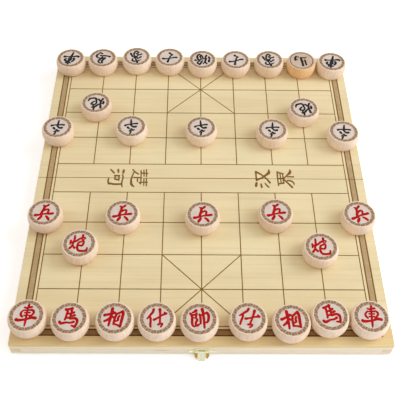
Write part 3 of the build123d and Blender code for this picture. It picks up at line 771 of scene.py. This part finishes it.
def make_panel(side, name, body):
    solid = Solid()
    angles = [math.radians(90 / EDGE_STEPS * s) for s in range(EDGE_STEPS + 1)]
    steps = [(EDGE_R * (1 - math.sin(a)), EDGE_R * (1 - math.cos(a))) for a in angles]
    top = half_outline(side, steps[0][0])
    layers = [
        (band_outlines(side, BAND_START, BAND_END), BAND_DEPTH, BAND_SLOT),
        (board_lines(side), LINE_DEPTH, LINE_SLOT),
        (river_words(), LINE_DEPTH, WORD_SLOT),
    ]
    solid.inlay(top, TOP_Z, layers, VENEER_SLOT)
    upper = solid.loop(top, TOP_Z)
    for inset, drop in steps[1:]:
        lower = solid.loop(half_outline(side, inset), TOP_Z - drop)
        solid.strip(lower, upper, VENEER_SLOT)
        upper = lower
    lower = solid.loop(half_outline(side, 0.0), TOP_Z - PANEL_T)
    solid.strip(lower, upper, VENEER_SLOT)
    solid.face(lower[::-1], VENEER_SLOT)
    cut_edge = (FOLD_GAP + EDGE_R + 0.05) * MM      # all that lies within this of the fold is the cut edge
    for index, face in enumerate(solid.faces):
        if all(abs(solid.corners[c][1]) < cut_edge for c in face):
            solid.slots[index] = CUT_SLOT
    made = solid.build(name + "_veneered", [VENEER, LINE, BAND, CUT_EDGE, WORDS], 0.21 * (2 + side))
    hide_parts(name)
    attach(made, body)


# ---------------------------------------------------------------- the playing pieces


def circle_through(a, b, c):
    (ax, ay), (bx, by), (cx, cy) = a, b, c
    a2, b2, c2 = ax * ax + ay * ay, bx * bx + by * by, cx * cx + cy * cy
    d = 2 * (ax * (by - cy) + bx * (cy - ay) + cx * (ay - by))
    x = (a2 * (by - cy) + b2 * (cy - ay) + c2 * (ay - by)) / d
    y = (a2 * (cx - bx) + b2 * (ax - cx) + c2 * (bx - ax)) / d
    return x, y, math.hypot(ax - x, ay - y)


def barrel_profile():
    """(radius, height) up the side of a piece, from the flat foot to the flat top."""
    belly = (PIECE_BELLY_R, PIECE_BELLY_Z)
    cx, cz, big = circle_through((PIECE_FOOT_R, 0), belly, (PIECE_TOP_R, PIECE_H))

    def eased(round_r, centre_z, first, last):
        """One rounded edge, and the angle where it meets the side."""
        centre_x = cx + math.sqrt((big - round_r) ** 2 - (centre_z - cz) ** 2)
        meets = math.atan2(centre_z - cz, centre_x - cx)
        low, high = (first, meets) if first is not None else (meets, last)
        spots = [low + (high - low) * s / ROUND_STEPS for s in range(ROUND_STEPS + 1)]
        edge = [(centre_x + round_r * math.cos(a), centre_z + round_r * math.sin(a)) for a in spots]
        return edge, meets

    foot, low = eased(PIECE_FOOT_ROUND, PIECE_FOOT_ROUND, -math.pi / 2, None)
    top, high = eased(PIECE_TOP_ROUND, PIECE_H - PIECE_TOP_ROUND, None, math.pi / 2)
    side = [low + (high - low) * s / BELLY_STEPS for s in range(1, BELLY_STEPS)]
    return foot + [(cx + big * math.cos(a), cz + big * math.sin(a)) for a in side] + top


def fret_ring():
    """Raised lines of a meander round the ring: bays open outwards and inwards by turns, a hook in each.

    Each row is one bar of a unit: from and to in steps round the ring, from and to across its width.
    """
    low, high = RING_INNER_R + FRET_MARGIN, RING_OUTER_R - FRET_MARGIN
    step = 2 * math.pi / FRET_UNITS / FRET_UNIT_STEPS
    outlines = []
    for unit in range(FRET_UNITS):
        for a0, a1, b0, b1 in (
            (0, 2, 0.0, 1.0), (7, 8, 0.0, 1.0), (0, 8, 0.0, 0.14), (7, 15, 0.86, 1.0),
            (4.2, 4.8, 0.07, 0.62), (3.4, 4.8, 0.52, 0.62),
            (10.2, 10.8, 0.38, 0.93), (10.2, 11.6, 0.38, 0.48),
        ):
            spots = [a0, *range(math.floor(a0) + 1, math.ceil(a1)), a1]
            turns = [step * (FRET_UNIT_STEPS * unit + spot) for spot in spots]
            inner, outer = low + (high - low) * b0, low + (high - low) * b1
            outlines.append(
                [(inner * math.cos(t), inner * math.sin(t)) for t in turns]
                + [(outer * math.cos(t), outer * math.sin(t)) for t in turns[::-1]]
            )
    return outlines


FRET = fret_ring()
PROFILE = barrel_profile()
TOP_R = PROFILE[-1][0]


def add_ringed_top(solid, rim, glyph):
    """The usual top: a sunk ring with the raised meander, and the engraved character inside it."""
    outer, inner = circle(RING_OUTER_R), circle(RING_INNER_R)
    floor_z = PIECE_H - RING_DEPTH
    edge = solid.loop(outer, PIECE_H)
    solid.strip(rim, edge, SIDE_SLOT)
    solid.strip(edge, solid.loop(outer, floor_z), RING_SLOT)
    fret_z = FRET_SUNK - RING_DEPTH
    solid.inlay(outer, floor_z, [(FRET, fret_z, FRET_SLOT), ([inner], None, SIDE_SLOT)], RING_SLOT)
    solid.strip(solid.loop(inner, floor_z), solid.loop(inner, PIECE_H), RING_SLOT)
    solid.inlay(inner, PIECE_H, [(glyph, GLYPH_DEPTH, GLYPH_SLOT)], FACE_SLOT)


def add_spare_top(solid, glyph):
    """The amber piece's top: one thin grey line round the character."""
    layers = [
        ([circle(SPARE_LINE_R)], SPARE_LINE_DEPTH, RING_SLOT),
        ([circle(SPARE_LINE_R - SPARE_LINE_W)], 0.0, FACE_SLOT),
        (glyph, SPARE_GLYPH_DEPTH, GLYPH_SLOT),
    ]
    solid.inlay(circle(TOP_R), PIECE_H, layers, FACE_SLOT)


def make_piece(name, spot, strokes, turn, seed, red, spare):
    solid = Solid()
    lower = solid.loop(circle(PROFILE[0][0]), 0.0)
    solid.face(lower[::-1], SIDE_SLOT)
    for radius, height in PROFILE[1:]:
        upper = solid.loop(circle(radius), height)
        solid.strip(lower, upper, SIDE_SLOT)
        lower = upper
    weight = SPARE_WEIGHT if spare else RED_WEIGHT if red else BLACK_WEIGHT
    glyph = written(strokes, GLYPH_SIZE[strokes], weight=weight)
    if spare:
        add_spare_top(solid, glyph)
        woods = (AMBER_SIDE, AMBER_FACE, GREY_LINE, RING_HIGH)
    else:
        add_ringed_top(solid, lower, glyph)
        woods = (PIECE_SIDE, PIECE_FACE, RING_LOW, RING_HIGH)
    made = solid.build(name + "_turned", [*woods, RED if red else BLACK], seed)
    made.location = (spot[0] * MM, spot[1] * MM, TOP_Z * MM)
    made.data.transform(Matrix.Rotation(math.radians(turn), 4, "Z"))
    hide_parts(name)
    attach(made, name + "_piece")


# name, file, offset from the crossing along X and Y, turn of the character, its strokes
RED_BACK = (
    ("chariot_left", -4, -2.5, 2.0, 0, CHARIOT),
    ("horse_left", -3, -2.5, -0.5, 0, HORSE),
    ("elephant_left", -2, -1.0, -0.5, 0, MINISTER),
    ("advisor_left", -1, -2.0, -0.5, 0, GUARD),
    ("general", 0, -2.5, -1.0, 0, MARSHAL),
    ("advisor_right", 1, 3.0, 0.0, -21, GUARD),
    ("elephant_right", 2, 3.0, -2.0, 14, MINISTER),
    ("horse_right", 3, -0.5, 3.5, 15, HORSE),
    ("chariot_right", 4, -3.0, 2.0, -1, CHARIOT),
)
RED_CANNONS = (
    ("cannon_left", -3, -2.0, 2.0, 0, CANNON),
    ("cannon_right", 3, -1.0, -0.5, 2, CANNON),
)
RED_SOLDIERS = (
    ("soldier_1", -4, -1.5, 0.0, 1, SOLDIER),
    ("soldier_2", -2, -1.5, -0.5, 5, SOLDIER),
    ("soldier_3", 0, 1.0, -1.5, 6, SOLDIER),
    ("soldier_4", 2, -3.0, 2.0, 6, SOLDIER),
    ("soldier_5", 4, 3.0, 0.0, 16, SOLDIER),
)
BLACK_BACK = (
    ("chariot_left", -4, -1.0, -3.5, 0, RUNNING_CHARIOT),
    ("horse_left", -3, -1.5, -2.5, 0, RUNNING_HORSE),
    ("elephant_left", -2, 0.5, 0.5, 0, ELEPHANT),
    ("advisor_left", -1, 1.5, -0.5, 0, SCHOLAR),
    ("general", 0, 2.0, -4.0, 0, GENERAL),
    ("advisor_right", 1, 3.5, -4.0, 7, SCHOLAR),
    ("elephant_right", 2, 5.0, -3.5, 3, ELEPHANT),
    ("horse_right", 3, 5.0, -4.5, -90, SPARE_HORSE),
    ("chariot_right", 4, 2.5, -6.0, 0, RUNNING_CHARIOT),
)
BLACK_CANNONS = (
    ("cannon_left", -3, -3.0, -0.5, 0, RUNNING_CANNON),
    ("cannon_right", 3, 0.0, -7.0, 9, RUNNING_CANNON),
)
BLACK_SOLDIERS = (
    ("soldier_1", -4, -3.0, 0.0, -9, PRIVATE),
    ("soldier_2", -2, 0.5, 2.0, -1, PRIVATE),
    ("soldier_3", 0, 0.0, 1.0, 0, PRIVATE),
    ("soldier_4", 2, 1.0, -1.5, -9, PRIVATE),
    ("soldier_5", 4, 2.0, -4.0, -14, PRIVATE),
)
# Width and height of each character
GLYPH_SIZE = {
    CHARIOT: (18.4, 21.6), HORSE: (17.8, 19.8), MINISTER: (19.0, 19.4), GUARD: (18.2, 18.8),
    MARSHAL: (18.4, 19.6), SOLDIER: (18.8, 20.2), CANNON: (18.4, 19.6), PRIVATE: (16.4, 21.2),
    SCHOLAR: (17.6, 18.8), GENERAL: (19.2, 20.4), ELEPHANT: (17.6, 20.8),
    RUNNING_CHARIOT: (18.4, 21.6), RUNNING_HORSE: (17.8, 19.8), SPARE_HORSE: (17.8, 19.8),
    RUNNING_CANNON: (18.4, 19.6),
}


def set_up(colour, side, back, cannons, soldiers):
    """One side's pieces, row by row. Black's face the other way, and each gets a seed of its own."""
    facing = 0 if side < 0 else 180
    for row, rank in ((back, 4.5), (cannons, 2.5), (soldiers, 1.5)):
        for name, file, off_x, off_y, turn, strokes in row:
            spot = (CELL * file + off_x, side * rank * CELL + off_y)
            seed = ((file * 0.37 + rank * 0.71 + side * 0.13) * 1.618) % 1.0 + 0.1
            spare = strokes is SPARE_HORSE
            make_piece(f"{colour}_{name}", spot, strokes, turn + facing, seed, side < 0, spare)


# ---------------------------------------------------------------- the fittings and rails


def dress(node, material):
    """Gives a CAD node that stays as it is its finish."""
    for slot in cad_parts[node].material_slots:
        slot.material = material


def dress_solids():
    for half in ("near", "far"):
        for rail, wood in (("outer", RAIL_X), ("fold", RAIL_X), ("left", RAIL_Y), ("right", RAIL_Y)):
            dress(f"{half}_{rail}_rail", wood)
    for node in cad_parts:
        if node == "latch_hasp":
            dress(node, HASP_BRASS)
        elif node.startswith("hinge_"):
            dress(node, BRASS)
        elif node.startswith(("latch_", "catch_")):
            dress(node, PALE_BRASS)


# ---------------------------------------------------------------- camera, light and floor

CAMERA_PLACE, CAMERA_TURN = (-0.01046, -0.47719, 0.60397), (37.323, -0.762, -0.169)
CAMERA_LENS, SENSOR_WIDTH, CLIP_START = 61.68, 36.0, 0.01

# name, place, size, power; each faces the middle of the board
LAMPS = (
    ("soft_right", (1.78, 0.18, 1.37), 1.4, 31.0),
    ("soft_left", (-1.55, 0.20, 1.25), 1.1, 7.5),
    ("soft_front", (1.1, -1.5, 0.50), 1.1, 12.2),
    ("soft_top", (0.2, 0.4, 2.0), 2.2, 9.0),
)
DAYLIGHT = (0.83, 0.905, 1.0)
AIR_LIGHT, AIR_SEEN = (0.39, 0.335, 0.265, 1.0), (1.0, 1.0, 1.0, 1.0)

FLOOR_REACH = 6.0
FLOOR_TONE = (0.88, 0.88, 0.88, 1.0)
GLOW_NEAR, GLOW_FAR = (0.8, 0.42), (2.4, 0.85)      # (distance, strength)


def place_camera(scene):
    camera = bpy.data.objects.new("camera", bpy.data.cameras.new("camera"))
    scene.collection.objects.link(camera)
    camera.location = CAMERA_PLACE
    camera.rotation_euler = [math.radians(a) for a in CAMERA_TURN]
    camera.data.lens = CAMERA_LENS
    camera.data.sensor_width = SENSOR_WIDTH
    camera.data.clip_start = CLIP_START
    scene.camera = camera
    scene.view_settings.view_transform = "Standard"


def hang_lamps(scene):
    for name, place, size, power in LAMPS:
        light = bpy.data.lights.new(name, "AREA")
        light.shape, light.size, light.energy, light.color = "SQUARE", size, power, DAYLIGHT
        made = bpy.data.objects.new(name, light)
        scene.collection.objects.link(made)
        made.location = place
        made.rotation_euler = (-Vector(place)).to_track_quat("-Z", "Y").to_euler()


def fill_air(scene):
    """A soft, warm light from all round, which the camera sees as white."""
    scene.world = bpy.data.worlds.new("studio_air")
    scene.world.use_nodes = True
    air = Nodes(scene.world.node_tree)
    air.set(air.tree.nodes["Background"], "Color", air.mix(air.seen(), AIR_LIGHT, AIR_SEEN))


def lay_floor(scene):
    """A plain pale floor; a faint glow that only the camera sees keeps it white into the distance."""
    reach = FLOOR_REACH
    mesh = bpy.data.meshes.new("floor")
    corners = [(x, y, 0) for x, y in rectangle(-reach, -reach, reach, reach)]
    mesh.from_pydata(corners, [], [(0, 1, 2, 3)])
    floor = bpy.data.objects.new("floor", mesh)
    scene.collection.objects.link(floor)
    f = Finish("floor_white", Base_Color=FLOOR_TONE, Roughness=0.9, Specular_IOR_Level=0.0)
    strength = f.range(f.length(f.where()), GLOW_NEAR[0], GLOW_FAR[0], GLOW_NEAR[1], GLOW_FAR[1])
    glow = f.node("Emission", {"Strength": f.math("MULTIPLY", f.seen(), strength)})
    both = f.node("AddShader", {0: f.shader.outputs[0], 1: glow.outputs[0]})
    f.set(f.tree.nodes["Material Output"], "Surface", both.outputs[0])
    mesh.materials.append(f.material)


# ---------------------------------------------------------------- making it all

studio = bpy.context.scene
place_camera(studio)
hang_lamps(studio)
fill_air(studio)
lay_floor(studio)
make_panel(-1, "near_panel", "near_half")
make_panel(1, "far_panel", "far_half")
set_up("red", -1, RED_BACK, RED_CANNONS, RED_SOLDIERS)
set_up("black", 1, BLACK_BACK, BLACK_CANNONS, BLACK_SOLDIERS)
dress_solids()
